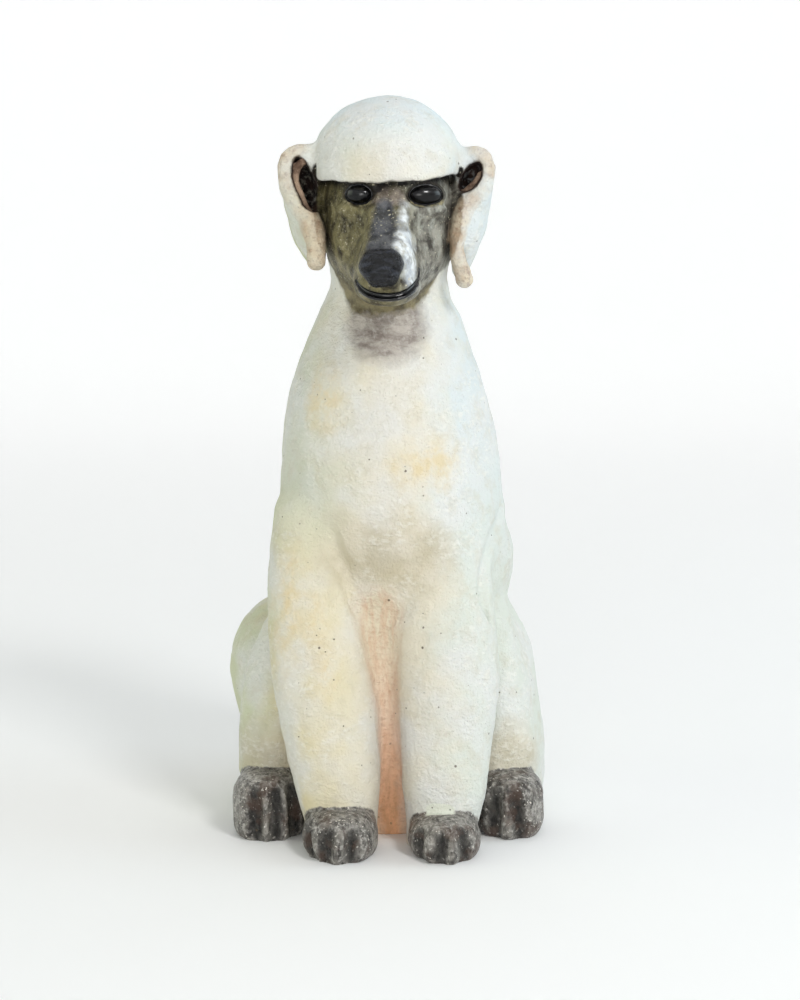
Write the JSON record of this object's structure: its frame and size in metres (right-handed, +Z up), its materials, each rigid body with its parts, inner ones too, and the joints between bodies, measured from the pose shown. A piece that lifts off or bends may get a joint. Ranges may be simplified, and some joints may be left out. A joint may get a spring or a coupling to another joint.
{
  "type": "dog sculpture",
  "caption": "Hand-built fired-clay sculpture of a seated dog facing forward, with a domed topknot, rolled hanging ears, a dark face and dark toed paws.",
  "frame": {"origin": "centre of the bounding box in plan, on the floor the sculpture stands on", "axes": "+Z up; the dog faces -Y, so its left side is +X"},
  "size_m": [0.1598, 0.1912, 0.3553],
  "materials": {
    "clay": "matt cream slip over gritty buff stoneware, with a dark brown oxide wash on face and paws"
  },
  "bodies": {
    "root": {"dog": "clay"}
  },
  "joints": []
}
